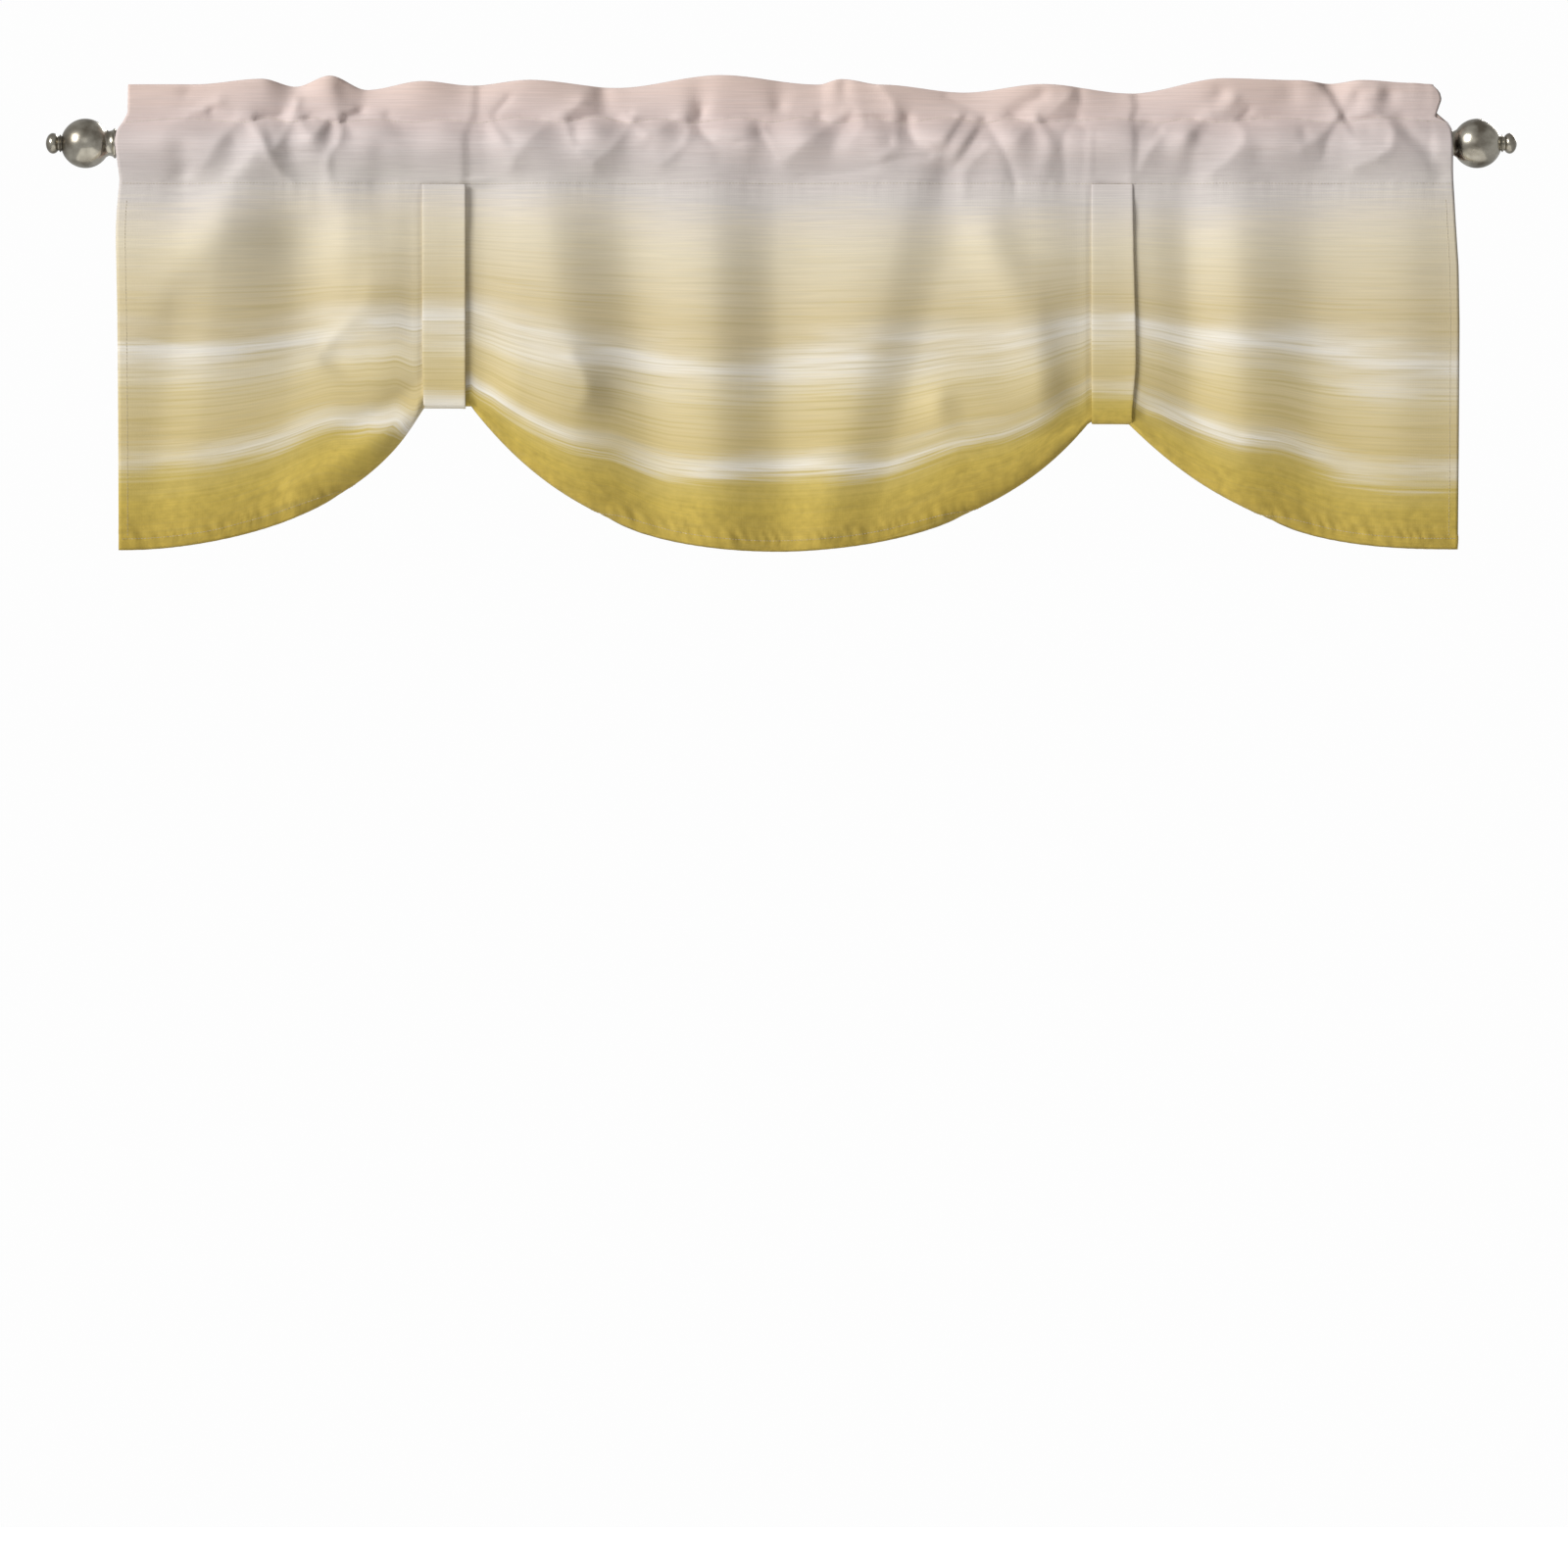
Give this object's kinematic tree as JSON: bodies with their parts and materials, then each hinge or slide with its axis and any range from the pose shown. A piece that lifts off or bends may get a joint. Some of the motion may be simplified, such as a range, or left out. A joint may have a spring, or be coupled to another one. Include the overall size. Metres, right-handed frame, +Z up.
{
  "type": "tie-up valance on a curtain rod",
  "caption": "Short gathered cloth valance with a ruffled header, hung by its pocket on a round rod with ball finials; straps lift its lower edge into swags.",
  "frame": {"origin": "on the rod's axis at the middle of its length", "axes": "+X along the rod to the right as seen from the room, +Y towards the wall, +Z up"},
  "size_m": [1.4258, 0.0542, 0.4629],
  "materials": {
    "printed_cloth": "printed plain-weave polyester, matt with a faint sheen",
    "band_cloth": "the same printed cloth, sewn as a flat strap",
    "pewter_metal": "antique pewter plating, satin"
  },
  "bodies": {
    "root": {"valance_panel": "printed_cloth", "tie_band_left": "band_cloth", "tie_band_right": "band_cloth", "rod": "pewter_metal", "finial_left": "pewter_metal", "finial_right": "pewter_metal"}
  },
  "joints": []
}
